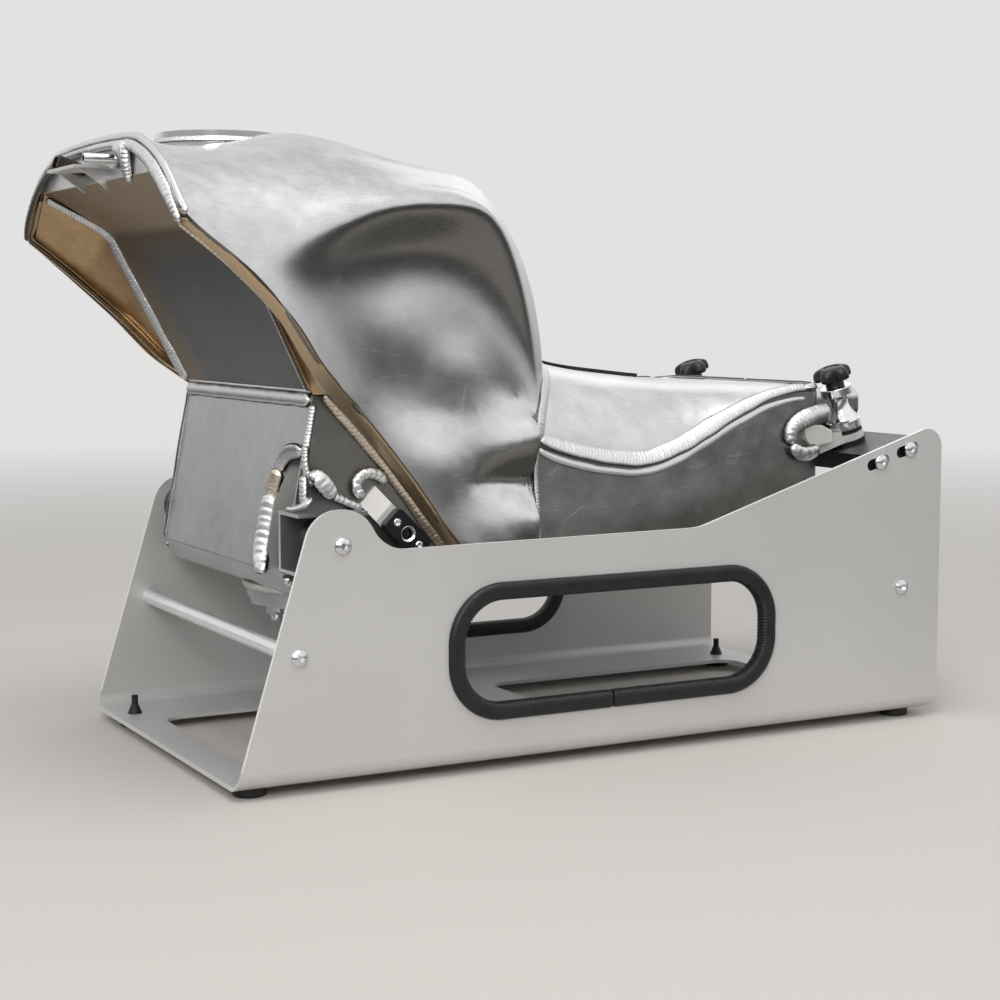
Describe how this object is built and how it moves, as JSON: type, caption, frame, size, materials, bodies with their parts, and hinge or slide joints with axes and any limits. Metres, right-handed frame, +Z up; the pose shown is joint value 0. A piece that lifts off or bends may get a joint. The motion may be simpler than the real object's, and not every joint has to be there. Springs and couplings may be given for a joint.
{
  "type": "racing motorcycle fuel tank on bench stand",
  "caption": "Hand-formed aluminium racing fuel tank with airbox recess and saddle, held by knobs on a folded sheet-metal bench stand",
  "frame": {"origin": "on the ground under the middle of the assembly", "axes": "+Z up, tank front towards -X, left side towards -Y"},
  "size_m": [0.5826, 0.3402, 0.3955],
  "materials": {
    "tank_aluminium": "satin",
    "welded_aluminium": "satin",
    "turned_aluminium": "gloss",
    "stand_paint": "matte",
    "black_anodised": "satin",
    "black_rubber": "matte",
    "black_plastic": "matte",
    "zinc_steel": "gloss",
    "brushed_steel": "satin"
  },
  "bodies": {
    "stand": {"stand_body": "stand_paint", "handle_trim_left": "black_rubber", "handle_trim_right": "black_rubber", "front_cross_rod": "brushed_steel", "rear_cross_rod": "brushed_steel", "cross_rod_screws": "zinc_steel", "support_boss_left": "black_plastic", "support_boss_right": "black_plastic", "support_boss_screws": "zinc_steel", "rear_crossbar": "black_anodised", "crossbar_screws": "zinc_steel", "rubber_feet": "black_rubber", "post_pads": "black_rubber"},
    "tank": {"tank_shell": "tank_aluminium", "saddle_skin": "tank_aluminium", "rear_wall": "tank_aluminium", "tail_nose": "tank_aluminium", "tank_floor": "tank_aluminium", "slosh_baffle": "tank_aluminium", "airbox_ceiling": "tank_aluminium", "airbox_side_left": "tank_aluminium", "airbox_side_right": "tank_aluminium", "forehead_plate": "tank_aluminium", "sump_box": "tank_aluminium", "rim_lip_left": "welded_aluminium", "rim_lip_right": "welded_aluminium", "mount_pocket": "welded_aluminium", "front_gussets": "welded_aluminium", "front_shelf": "welded_aluminium", "pump_ring": "welded_aluminium", "rear_lug_left": "welded_aluminium", "rear_lug_right": "welded_aluminium", "fairing_tab_left": "welded_aluminium", "fairing_tab_right": "welded_aluminium", "boss_channel_left": "turned_aluminium", "boss_channel_right": "turned_aluminium", "breather_tube": "turned_aluminium", "pump_plate": "turned_aluminium", "filler_neck": "turned_aluminium", "post_bell_left": "turned_aluminium", "post_bell_right": "turned_aluminium", "fairing_block_left": "black_anodised", "fairing_block_right": "black_anodised", "post_grommets": "black_rubber", "filler_seal": "black_rubber", "foam_strip": "black_rubber", "hose_clip": "black_plastic", "pump_screws": "zinc_steel", "fairing_rivets": "zinc_steel", "fuel_outlet": "zinc_steel"},
    "collar_left": {"post_collar_left": "turned_aluminium"},
    "collar_right": {"post_collar_right": "turned_aluminium"},
    "knob_left": {"post_knob_left": "black_plastic", "post_stud_left": "brushed_steel"},
    "knob_right": {"post_knob_right": "black_plastic", "post_stud_right": "brushed_steel"},
    "cap": {"filler_cap": "turned_aluminium"}
  },
  "joints": [
    {"name": "tank_tilt", "type": "hinge", "parent": "stand", "child": "tank", "pos_m": [-0.16443, 0, 0.147], "axis": [0, -1, 0], "range_deg": [0, 10]},
    {"name": "knob_rise_left", "type": "slide", "parent": "tank", "child": "collar_left", "axis": [-0.299, 0, 0.9542], "range_m": [0, 0.01]},
    {"name": "knob_turn_left", "type": "hinge", "parent": "collar_left", "child": "knob_left", "pos_m": [0.24926, -0.0882, 0.1974], "axis": [-0.299, 0, 0.9542], "range_deg": [0, 2880]},
    {"name": "knob_rise_right", "type": "slide", "parent": "tank", "child": "collar_right", "axis": [-0.299, 0, 0.9542], "range_m": [0, 0.01]},
    {"name": "knob_turn_right", "type": "hinge", "parent": "collar_right", "child": "knob_right", "pos_m": [0.24926, 0.0882, 0.1974], "axis": [-0.299, 0, 0.9542], "range_deg": [0, 2880]},
    {"name": "cap_turn", "type": "hinge", "parent": "tank", "child": "cap", "pos_m": [-0.18624, 0, 0.3905], "axis": [0, 0, 1], "range_deg": [0, 90]}
  ],
  "couplings": [
    {"joint": "knob_turn_left", "follows": "knob_rise_left", "rad_per_m": 5026.5},
    {"joint": "knob_turn_right", "follows": "knob_rise_right", "rad_per_m": 5026.5}
  ]
}
